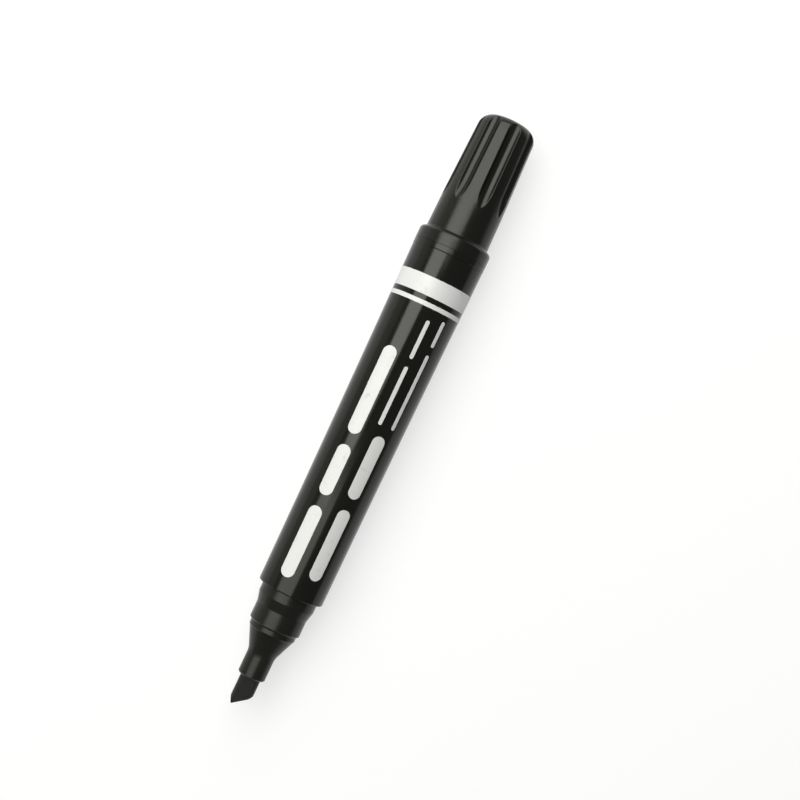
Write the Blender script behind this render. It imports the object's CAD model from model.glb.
import math
import bpy
from mathutils import Matrix, Vector
from mathutils.bvhtree import BVHTree


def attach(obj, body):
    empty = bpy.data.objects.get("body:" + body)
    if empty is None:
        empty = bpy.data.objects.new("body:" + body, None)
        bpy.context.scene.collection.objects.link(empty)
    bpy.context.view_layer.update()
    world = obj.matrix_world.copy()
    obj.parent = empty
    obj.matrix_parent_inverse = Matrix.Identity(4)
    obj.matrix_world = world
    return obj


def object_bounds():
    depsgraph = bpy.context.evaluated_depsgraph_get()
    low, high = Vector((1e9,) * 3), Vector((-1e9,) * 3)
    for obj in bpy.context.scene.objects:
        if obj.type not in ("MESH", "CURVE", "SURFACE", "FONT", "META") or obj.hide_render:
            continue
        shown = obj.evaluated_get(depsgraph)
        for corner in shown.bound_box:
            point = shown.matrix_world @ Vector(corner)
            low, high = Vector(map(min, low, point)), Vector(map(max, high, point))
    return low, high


# A felt marker with its cap on the tail, lying on a pale light table under a softbox.
# Metres. +X runs from the nib to the cap's closed end, +Z is up, and +Y is the nib's long side.

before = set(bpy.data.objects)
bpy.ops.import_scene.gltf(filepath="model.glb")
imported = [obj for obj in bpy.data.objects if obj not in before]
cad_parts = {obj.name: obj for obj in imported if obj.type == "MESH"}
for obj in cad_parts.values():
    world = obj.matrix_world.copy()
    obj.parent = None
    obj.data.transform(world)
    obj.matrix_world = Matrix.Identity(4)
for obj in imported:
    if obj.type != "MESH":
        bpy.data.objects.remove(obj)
cad_low, cad_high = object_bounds()

MM = 0.001
AXIS_Z = (cad_low.z + cad_high.z) / 2
scene = bpy.context.scene
scene.view_settings.view_transform = "Standard"


# ---------------------------------------------------------------- camera

CAMERA_DISTANCE = 0.329
CAMERA_REACH = (0.01, 100)
FIELD_OF_VIEW = math.radians(30.4)
MARKER_TURN = math.radians(25.19)
VIEW_CENTRE = Vector((0.00526, -0.00386, AXIS_Z))


def add_camera():
    """Looks straight down, turned so that the cap points up and a little to the right."""
    data = bpy.data.cameras.new("camera")
    data.angle = FIELD_OF_VIEW
    data.clip_start, data.clip_end = CAMERA_REACH
    camera = bpy.data.objects.new("camera", data)
    right = Vector((math.sin(MARKER_TURN), -math.cos(MARKER_TURN), 0))
    up = Vector((math.cos(MARKER_TURN), math.sin(MARKER_TURN), 0))
    back = right.cross(up)
    turn = Matrix((right, up, back)).transposed().to_4x4()
    camera.matrix_world = Matrix.Translation(VIEW_CENTRE + back * CAMERA_DISTANCE) @ turn
    scene.collection.objects.link(camera)
    scene.camera = camera


# ---------------------------------------------------------------- node helpers


def new_material(name):
    """A material with a fresh Principled surface. Returns (material, nodes, links, shader)."""
    material = bpy.data.materials.new(name)
    material.use_nodes = True
    tree = material.node_tree
    shader = tree.nodes["Principled BSDF"]
    return material, tree.nodes, tree.links, shader


def place(nodes, links, stretch=(1, 1, 1)):
    """Object coordinates, stretched, as a vector output."""
    coordinates = nodes.new("ShaderNodeTexCoord")
    mapping = nodes.new("ShaderNodeMapping")
    mapping.inputs["Scale"].default_value = stretch
    links.new(coordinates.outputs["Object"], mapping.inputs["Vector"])
    return mapping.outputs["Vector"]


def noise(nodes, links, vector, scale, detail=4.0, roughness=0.55):
    """A noise field, 0 to 1, whose features are about 1/scale metres."""
    texture = nodes.new("ShaderNodeTexNoise")
    texture.inputs["Scale"].default_value = scale
    texture.inputs["Detail"].default_value = detail
    texture.inputs["Roughness"].default_value = roughness
    links.new(vector, texture.inputs["Vector"])
    return texture.outputs["Fac"]


def remap(nodes, links, value, from_low, from_high, to_low, to_high):
    """A value moved from one range to another, clamped."""
    node = nodes.new("ShaderNodeMapRange")
    node.inputs["From Min"].default_value = from_low
    node.inputs["From Max"].default_value = from_high
    node.inputs["To Min"].default_value = to_low
    node.inputs["To Max"].default_value = to_high
    links.new(value, node.inputs["Value"])
    return node.outputs["Result"]


def combine(nodes, links, operation, first, second):
    """Math on two outputs, or on an output and a number."""
    node = nodes.new("ShaderNodeMath")
    node.operation = operation
    for number, value in enumerate((first, second)):
        if isinstance(value, (int, float)):
            node.inputs[number].default_value = value
        else:
            links.new(value, node.inputs[number])
    return node.outputs["Value"]


def colour_mix(nodes, links, factor, low, high):
    """A colour between low and high."""
    node = nodes.new("ShaderNodeMix")
    node.data_type = "RGBA"
    node.inputs["A"].default_value = (*low, 1)
    node.inputs["B"].default_value = (*high, 1)
    links.new(factor, node.inputs["Factor"])
    return node.outputs["Result"]


def bump(nodes, links, height, distance, strength=1.0, after=None):
    """A bump normal of that real height in metres, stacked on another if one is given."""
    node = nodes.new("ShaderNodeBump")
    node.inputs["Distance"].default_value = distance
    node.inputs["Strength"].default_value = strength
    links.new(height, node.inputs["Height"])
    if after is not None:
        links.new(after, node.inputs["Normal"])
    return node.outputs["Normal"]


# ---------------------------------------------------------------- materials

PLASTIC_IOR = 1.34


def black_plastic(name, colour, worn_colour, roughness, grain_height, waviness):
    """Moulded black polypropylene: faint flow colour, handling smudges, fine scuffs and mould grain."""
    material, nodes, links, shader = new_material(name)
    plain = place(nodes, links)
    along = place(nodes, links, (0.06, 1, 1))

    smudges = noise(nodes, links, plain, 90, 5, 0.6)
    grain = noise(nodes, links, plain, 6500, 2)
    hairs = noise(nodes, links, along, 5200, 3, 0.7)
    scuffs = remap(nodes, links, hairs, 0.66, 0.78, 0, 1)
    sparse = remap(nodes, links, noise(nodes, links, plain, 140, 2), 0.5, 0.7, 0, 1)
    scuffs = combine(nodes, links, "MULTIPLY", scuffs, sparse)

    flow = noise(nodes, links, along, 260, 4)
    tone = combine(nodes, links, "MULTIPLY", remap(nodes, links, flow, 0.3, 0.7, 0, 1), 0.5)
    tone = combine(nodes, links, "ADD", tone, combine(nodes, links, "MULTIPLY", scuffs, 0.5))
    links.new(colour_mix(nodes, links, tone, colour, worn_colour), shader.inputs["Base Color"])

    rough = remap(nodes, links, smudges, 0.3, 0.72, roughness * 0.86, roughness * 1.22)
    rough = combine(nodes, links, "ADD", rough, combine(nodes, links, "MULTIPLY", scuffs, 0.16))
    links.new(rough, shader.inputs["Roughness"])

    sink = bump(nodes, links, noise(nodes, links, along, 110, 2), waviness)
    fine = bump(nodes, links, grain, grain_height, after=sink)
    cut = bump(nodes, links, combine(nodes, links, "SUBTRACT", 1.0, scuffs), 0.000002, after=fine)
    links.new(cut, shader.inputs["Normal"])
    shader.inputs["IOR"].default_value = PLASTIC_IOR
    return material


def liner_plastic():
    """Natural polyethylene: milky, slightly translucent, waxy."""
    material, nodes, links, shader = new_material("natural_polyethylene")
    plain = place(nodes, links)
    cloud = noise(nodes, links, plain, 320, 4)
    colour = colour_mix(nodes, links, cloud, (0.62, 0.62, 0.58), (0.78, 0.78, 0.75))
    links.new(colour, shader.inputs["Base Color"])
    links.new(remap(nodes, links, cloud, 0.3, 0.7, 0.38, 0.5), shader.inputs["Roughness"])
    grain = noise(nodes, links, plain, 4200, 2)
    links.new(bump(nodes, links, grain, 0.000004), shader.inputs["Normal"])
    shader.inputs["Subsurface Weight"].default_value = 0.25
    shader.inputs["Subsurface Scale"].default_value = 0.001
    return material


def nib_felt():
    """Pressed polyester fibre, soaked black: matt, with strands along the nib over a felted surface."""
    material, nodes, links, shader = new_material("nib_felt")
    plain = place(nodes, links)
    along = place(nodes, links, (0.12, 1, 1))
    strands = noise(nodes, links, along, 9000, 4, 0.7)
    felted = noise(nodes, links, plain, 5200, 5, 0.75)
    soak = noise(nodes, links, plain, 700, 3)
    tone = combine(nodes, links, "MULTIPLY", remap(nodes, links, strands, 0.35, 0.75, 0, 1), 0.6)
    tone = combine(nodes, links, "ADD", tone, combine(nodes, links, "MULTIPLY", soak, 0.5))
    colour = colour_mix(nodes, links, tone, (0.001, 0.001, 0.0012), (0.006, 0.006, 0.007))
    links.new(colour, shader.inputs["Base Color"])
    links.new(remap(nodes, links, soak, 0.3, 0.7, 0.42, 0.58), shader.inputs["Roughness"])
    first = bump(nodes, links, strands, 0.00004, 0.8)
    links.new(bump(nodes, links, felted, 0.00005, 0.7, after=first), shader.inputs["Normal"])
    shader.inputs["IOR"].default_value = 1.3
    return material


def reservoir_fibre():
    """A bundle of long fibres soaked with ink."""
    material, nodes, links, shader = new_material("reservoir_fibre")
    along = place(nodes, links, (0.03, 1, 1))
    strands = noise(nodes, links, along, 6000, 3, 0.7)
    colour = colour_mix(nodes, links, strands, (0.012, 0.012, 0.016), (0.09, 0.09, 0.1))
    links.new(colour, shader.inputs["Base Color"])
    links.new(remap(nodes, links, strands, 0.3, 0.7, 0.6, 0.9), shader.inputs["Roughness"])
    links.new(bump(nodes, links, strands, 0.00005), shader.inputs["Normal"])
    return material


def wrapping_film():
    """Thin clear film over the fibre bundle, smeared with ink on its inside."""
    material, nodes, links, shader = new_material("wrapping_film")
    plain = place(nodes, links)
    smear = noise(nodes, links, plain, 180, 4)
    colour = colour_mix(nodes, links, smear, (0.05, 0.05, 0.06), (0.5, 0.5, 0.52))
    links.new(colour, shader.inputs["Base Color"])
    links.new(remap(nodes, links, smear, 0.3, 0.7, 0.12, 0.24), shader.inputs["Roughness"])
    creases = noise(nodes, links, plain, 900, 3)
    links.new(bump(nodes, links, creases, 0.00002), shader.inputs["Normal"])
    shader.inputs["Transmission Weight"].default_value = 0.5
    return material


def print_ink():
    """White pad-printed ink: an even film with a soft grain, thin patches and a few pinholes."""
    material, nodes, links, shader = new_material("white_print")
    plain = place(nodes, links)
    patches = noise(nodes, links, plain, 450, 5, 0.7)
    thin = remap(nodes, links, patches, 0.6, 0.8, 0, 0.6)
    holes = remap(nodes, links, noise(nodes, links, plain, 2600, 2), 0.75, 0.8, 0, 1)
    worn = combine(nodes, links, "MAXIMUM", thin, holes)
    colour = colour_mix(nodes, links, worn, (0.465, 0.46, 0.48), (0.12, 0.12, 0.12))
    links.new(colour, shader.inputs["Base Color"])
    links.new(remap(nodes, links, patches, 0.3, 0.7, 0.34, 0.5), shader.inputs["Roughness"])
    grain = noise(nodes, links, plain, 3800, 3)
    links.new(bump(nodes, links, grain, 0.000004), shader.inputs["Normal"])
    return material


def dress(node, material):
    """Gives a CAD node its finished material."""
    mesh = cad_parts[node].data
    mesh.materials.clear()
    mesh.materials.append(material)


def dress_nodes():
    barrel_black = black_plastic(
        "barrel_black", (0.0034, 0.0036, 0.0028), (0.0078, 0.0080, 0.0066), 0.16, 0.0000008, 0.00001
    )
    cap_black = black_plastic(
        "cap_black", (0.0037, 0.0039, 0.0030), (0.0082, 0.0084, 0.0070), 0.23, 0.0000010, 0.00001
    )
    nose_black = black_plastic(
        "nose_black", (0.0045, 0.0047, 0.0036), (0.0098, 0.0102, 0.0082), 0.28, 0.0000015, 0.00001
    )
    dress("barrel", barrel_black)
    dress("tail_plug", barrel_black)
    dress("cap_shell", cap_black)
    dress("nose", nose_black)
    dress("cap_liner", liner_plastic())
    dress("nib", nib_felt())
    dress("ink_reservoir", reservoir_fibre())
    dress("reservoir_film", wrapping_film())


# ---------------------------------------------------------------- print on the barrel

# Plain marks in place of the real marker's print: rounded bars and two rings.
# A bar is (distance of its start from the nib's tip, length, centre, height). The centre is an
# angle round the barrel from the top, positive towards -Y, in degrees. The rest is in millimetres.
LARGE_BARS = [
    (31.5, 17.0, -19, 3.3),
    (51.3, 12.0, -19, 3.3),
    (66.1, 21.0, -19, 3.3),
    (33.2, 17.0, 27, 3.1),
    (53.0, 15.0, 27, 3.1),
]
SMALL_BARS = [
    (70.3, 14.0, 15, 0.9),
    (86.2, 9.2, 15, 0.9),
    (70.3, 18.2, 40, 0.9),
    (90.4, 6.2, 40, 0.9),
]
# A ring is (distance from the nib's tip, width).
RINGS = [(100.2, 4.2), (98.0, 1.0)]

# The print stands a little proud of the barrel and reaches a little into it.
PRINT_TOP = 0.025
PRINT_BOTTOM = -0.05
PRINT_STEP = 0.3
CORNER_ROWS = 6
BAR_ROUNDNESS = 0.98
OUTSIDE_R = 20
SHARP_ANGLE = 40


class BarrelSkin:
    """Finds the barrel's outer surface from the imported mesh."""

    def __init__(self):
        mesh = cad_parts["barrel"].data
        self.tree = BVHTree.FromPolygons(
            [vertex.co.copy() for vertex in mesh.vertices], [tuple(face.vertices) for face in mesh.polygons]
        )

    def radius(self, x, angle):
        outward = Vector((0, -math.sin(angle), math.cos(angle)))
        far = Vector((x, 0, AXIS_Z)) + outward * OUTSIDE_R * MM
        return OUTSIDE_R * MM - self.tree.ray_cast(far, -outward)[3]

    def point(self, x, angle, lift):
        r = self.radius(x, angle) + lift
        return Vector((x, -r * math.sin(angle), AXIS_Z + r * math.cos(angle)))


def half_length_at(across, half_length, half_height, corner):
    """Half the length of a rounded bar, at a distance across from its centre line."""
    into_corner = abs(across) - (half_height - corner)
    if into_corner <= 0:
        return half_length
    return half_length - corner + math.sqrt(max(corner**2 - into_corner**2, 0))


def bar_rows(half_height, corner):
    """Distances across a bar, close together where its ends are round."""
    turns = [math.pi / 2 * step / CORNER_ROWS for step in range(CORNER_ROWS + 1)]
    upper = [half_height - corner + corner * math.sin(turn) for turn in turns]
    return [-row for row in reversed(upper)] + [row for row in upper if row > 0]


def solid_from_grid(name, top, bottom, closed_rows):
    """A closed thin solid from two grids of points. closed_rows joins the last row to the first."""
    rows = len(top)
    columns = len(top[0])
    points = [point for row in top for point in row] + [point for row in bottom for point in row]
    under = rows * columns
    faces = []
    for row in range(rows if closed_rows else rows - 1):
        after = (row + 1) % rows
        for column in range(columns - 1):
            a = row * columns + column
            b = after * columns + column
            faces.append((a, b, b + 1, a + 1))
            faces.append((under + a, under + a + 1, under + b + 1, under + b))
        for edge in (0, columns - 1):
            a = row * columns + edge
            b = after * columns + edge
            side = (a, under + a, under + b, b)
            faces.append(side if edge == 0 else side[::-1])
    if not closed_rows:
        for edge in (0, rows - 1):
            for column in range(columns - 1):
                a = edge * columns + column
                side = (a, a + 1, under + a + 1, under + a)
                faces.append(side if edge == 0 else side[::-1])
    mesh = bpy.data.meshes.new(name)
    mesh.from_pydata([tuple(point) for point in points], [], faces)
    mesh.polygons.foreach_set("use_smooth", [True] * len(mesh.polygons))
    mesh.set_sharp_from_angle(angle=math.radians(SHARP_ANGLE))
    piece = bpy.data.objects.new(name, mesh)
    scene.collection.objects.link(piece)
    return piece


def add_bar(name, skin, start, length, centre_degrees, height):
    half_length = length / 2 * MM
    half_height = height / 2 * MM
    corner = half_height * BAR_ROUNDNESS
    middle_x = cad_low.x + start * MM + half_length
    columns = max(round(length / PRINT_STEP), 2)
    top = []
    bottom = []
    for across in bar_rows(half_height, corner):
        reach = half_length_at(across, half_length, half_height, corner)
        angle = math.radians(centre_degrees) + across / skin.radius(middle_x, math.radians(centre_degrees))
        xs = [middle_x + reach * (2 * column / columns - 1) for column in range(columns + 1)]
        top.append([skin.point(x, angle, PRINT_TOP * MM) for x in xs])
        bottom.append([skin.point(x, angle, PRINT_BOTTOM * MM) for x in xs])
    return solid_from_grid(name, top, bottom, closed_rows=False)


def add_ring(name, skin, start, width):
    start_x = cad_low.x + start * MM
    columns = max(round(width / PRINT_STEP), 2)
    around = round(math.tau * skin.radius(start_x, 0) / (PRINT_STEP * MM))
    xs = [start_x + width * MM * column / columns for column in range(columns + 1)]
    angles = [math.tau * number / around for number in range(around)]
    top = [[skin.point(x, angle, PRINT_TOP * MM) for x in xs] for angle in angles]
    bottom = [[skin.point(x, angle, PRINT_BOTTOM * MM) for x in xs] for angle in angles]
    return solid_from_grid(name, top, bottom, closed_rows=True)


def add_print():
    skin = BarrelSkin()
    ink = print_ink()
    marks = []
    for number, bar in enumerate(LARGE_BARS):
        marks.append(add_bar(f"print_bar_large_{number}", skin, *bar))
    for number, bar in enumerate(SMALL_BARS):
        marks.append(add_bar(f"print_bar_small_{number}", skin, *bar))
    for number, ring in enumerate(RINGS):
        marks.append(add_ring(f"print_ring_{number}", skin, *ring))
    for mark in marks:
        mark.data.materials.append(ink)
        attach(mark, "marker")


# ---------------------------------------------------------------- studio

# The softbox and the dark camera hang level. Each has two straight long edges, and an edge is given
# by how far it is towards +Y at x = 0 and by its slope. The softbox goes from dim to bright over one
# range of x, and from all of that to a share of it over another. The backdrop is as bright as the
# far part of the table, so that no line shows between them.
SOFTBOX_HEIGHT = 0.6
SOFTBOX_ENDS = (-0.3, 2.0)
SOFTBOX_LEFT = (0.64, 0.24)
SOFTBOX_RIGHT = (-0.08, 0.0)
SOFTBOX_BRIGHT = 6.0
SOFTBOX_DIM = 3.2
SOFTBOX_FADE = (-0.09, -0.055)
SOFTBOX_FAR_SHARE = 0.78
SOFTBOX_FAR_FADE = (0.16, 0.28)
SOFTBOX_COLOUR = (1.0, 1.015, 0.93)
TABLE_HALF_SIDE = 50.0
TABLE_GLOW = 0.66
TABLE_COLOUR = (0.22, 0.22, 0.226)
ROOM_LIGHT = 0.18
BACKDROP_LIGHT = 0.705
SIDE_PANEL_LIGHT = 0.68
SIDE_PANEL_Y = 1.2
SIDE_PANEL_HEIGHT = 0.62
SIDE_PANEL_HALF_LENGTH = 0.8
SIDE_PANEL_COLOUR = (1.0, 1.02, 0.85)
CAMERA_BODY_HEIGHT = 0.335
CAMERA_BODY_ENDS = (-0.045, 0.073)
CAMERA_BODY_LEFT = (0.066, -0.45)
CAMERA_BODY_RIGHT = (-0.046, 0.0)


def add_floor():
    """A pale light table: a grey sheet with a soft white glow of its own."""
    mesh = bpy.data.meshes.new("floor")
    half = TABLE_HALF_SIDE
    corners = [(-half, -half, 0), (half, -half, 0), (half, half, 0), (-half, half, 0)]
    mesh.from_pydata(corners, [], [(0, 1, 2, 3)])
    floor = bpy.data.objects.new("floor", mesh)
    scene.collection.objects.link(floor)
    material, _, _, shader = new_material("light_table")
    shader.inputs["Base Color"].default_value = (*TABLE_COLOUR, 1)
    shader.inputs["Roughness"].default_value = 0.9
    shader.inputs["Specular IOR Level"].default_value = 0.1
    shader.inputs["Emission Color"].default_value = (1, 1, 1, 1)
    shader.inputs["Emission Strength"].default_value = TABLE_GLOW
    mesh.materials.append(material)


def add_panel(name, corners, material):
    """A glowing or dark panel that the camera doesn't see and that casts no shadow."""
    mesh = bpy.data.meshes.new(name)
    mesh.from_pydata([tuple(corner) for corner in corners], [], [(0, 1, 2, 3)])
    mesh.materials.append(material)
    panel = bpy.data.objects.new(name, mesh)
    scene.collection.objects.link(panel)
    panel.visible_camera = False
    panel.visible_shadow = False


def glow_material(name, colour):
    """Plain emission. Returns (material, nodes, links, emission)."""
    material = bpy.data.materials.new(name)
    material.use_nodes = True
    nodes = material.node_tree.nodes
    links = material.node_tree.links
    nodes.clear()
    emission = nodes.new("ShaderNodeEmission")
    emission.inputs["Color"].default_value = (*colour, 1)
    output = nodes.new("ShaderNodeOutputMaterial")
    links.new(emission.outputs["Emission"], output.inputs["Surface"])
    return material, nodes, links, emission


def level_corners(ends, left, right, height):
    """Corners of a level panel between two x values and two straight edges."""
    level = AXIS_Z + height
    places = [(right, ends[0]), (left, ends[0]), (left, ends[1]), (right, ends[1])]
    return [Vector((x, edge[0] + edge[1] * x, level)) for edge, x in places]


def add_softbox():
    """The key light, overhead and to the left. It dims over the nib end and past the cap."""
    corners = level_corners(SOFTBOX_ENDS, SOFTBOX_LEFT, SOFTBOX_RIGHT, SOFTBOX_HEIGHT)
    material, nodes, links, emission = glow_material("softbox_glow", SOFTBOX_COLOUR)
    coordinates = nodes.new("ShaderNodeTexCoord")
    parts = nodes.new("ShaderNodeSeparateXYZ")
    links.new(coordinates.outputs["Object"], parts.inputs["Vector"])
    strength = remap(nodes, links, parts.outputs["X"], *SOFTBOX_FADE, SOFTBOX_DIM, SOFTBOX_BRIGHT)
    far_share = remap(nodes, links, parts.outputs["X"], *SOFTBOX_FAR_FADE, 1, SOFTBOX_FAR_SHARE)
    links.new(combine(nodes, links, "MULTIPLY", strength, far_share), emission.inputs["Strength"])
    add_panel("key_softbox", corners, material)


def add_side_panel():
    """A dim low panel on the left, whose glow shows down the marker's left side."""
    material, _, _, emission = glow_material("side_glow", SIDE_PANEL_COLOUR)
    emission.inputs["Strength"].default_value = SIDE_PANEL_LIGHT
    half = SIDE_PANEL_HALF_LENGTH
    foot = [Vector((-half, SIDE_PANEL_Y, 0)), Vector((half, SIDE_PANEL_Y, 0))]
    rise = Vector((0, 0, SIDE_PANEL_HEIGHT))
    add_panel("side_panel", [foot[0], foot[1], foot[1] + rise, foot[0] + rise], material)


def add_camera_body():
    """The dark camera, just above the view point, which hides a part of the softbox from the barrel."""
    material, _, _, _ = glow_material("camera_black", (0, 0, 0))
    corners = level_corners(CAMERA_BODY_ENDS, CAMERA_BODY_LEFT, CAMERA_BODY_RIGHT, CAMERA_BODY_HEIGHT)
    add_panel("camera_body", corners, material)


def add_room():
    """A dim grey room, which a side view sees as a pale backdrop."""
    world = bpy.data.worlds.new("studio")
    world.use_nodes = True
    nodes = world.node_tree.nodes
    links = world.node_tree.links
    seen = nodes.new("ShaderNodeLightPath").outputs["Is Camera Ray"]
    background = nodes["Background"]
    background.inputs["Color"].default_value = (1, 1, 1, 1)
    links.new(remap(nodes, links, seen, 0, 1, ROOM_LIGHT, BACKDROP_LIGHT), background.inputs["Strength"])
    scene.world = world


def add_studio():
    add_floor()
    add_softbox()
    add_side_panel()
    add_camera_body()
    add_room()


add_camera()
dress_nodes()
add_print()
add_studio()
